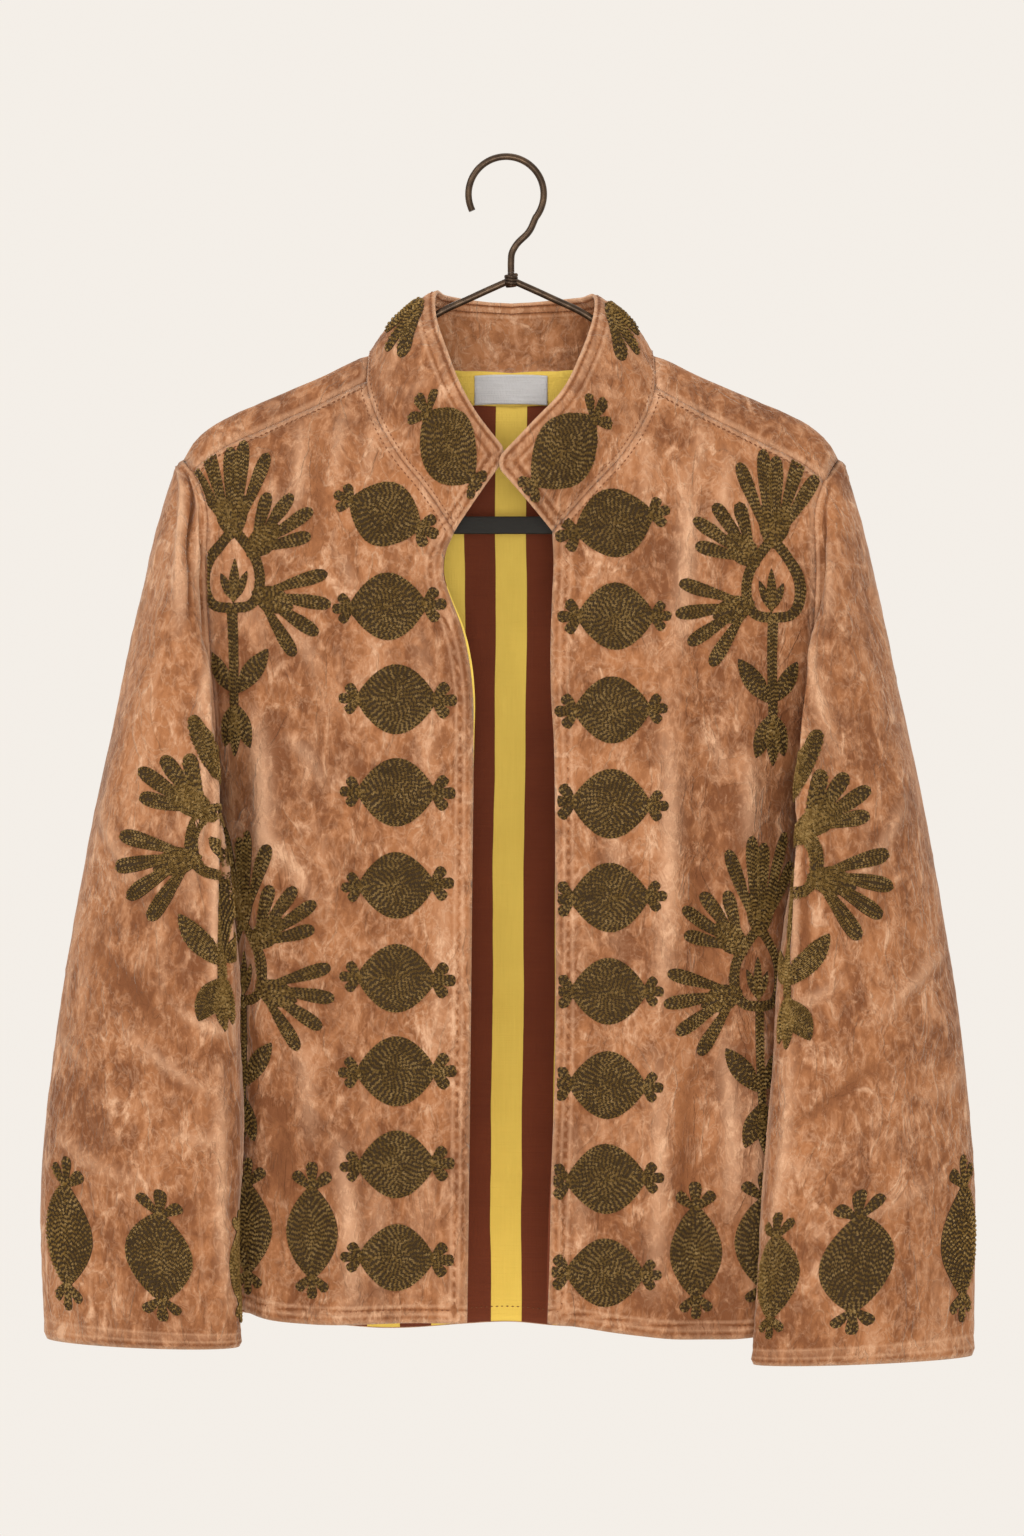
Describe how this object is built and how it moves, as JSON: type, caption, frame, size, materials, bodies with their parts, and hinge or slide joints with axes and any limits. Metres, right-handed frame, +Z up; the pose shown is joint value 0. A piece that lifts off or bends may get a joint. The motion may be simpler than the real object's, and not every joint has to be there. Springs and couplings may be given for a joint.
{
  "type": "jacket on hanger",
  "caption": "Open-front velvet jacket with embroidered pomegranates and leaf sprays, stand collar wings and striped lining, hanging on a wire hanger.",
  "frame": {"origin": "inside top of the hanger's hook, where the rail carries it", "axes": "+X to the wearer's left (right in a front view), +Y from the jacket's front to its back, +Z up"},
  "size_m": [0.6048, 0.1488, 0.7788],
  "materials": {
    "velvet": "crushed velvet pile with thick thread embroidery",
    "striped_cotton": "plain striped cotton",
    "yellow_cotton": "plain cotton",
    "label": "satin weave, bare",
    "bronzed_wire": "dark bronze",
    "black_bar": "matt black"
  },
  "bodies": {
    "root": {"back_panel": "velvet", "front_right": "velvet", "front_left": "velvet", "sleeve_right": "velvet", "sleeve_left": "velvet", "collar": "velvet", "lining_back": "striped_cotton", "lining_front_right": "striped_cotton", "lining_front_left": "striped_cotton", "neck_facing": "yellow_cotton", "label": "label", "hanger_hook": "bronzed_wire", "hanger_arm_right": "bronzed_wire", "hanger_arm_left": "bronzed_wire", "hanger_wrap": "bronzed_wire", "hanger_bar": "black_bar"}
  },
  "joints": []
}
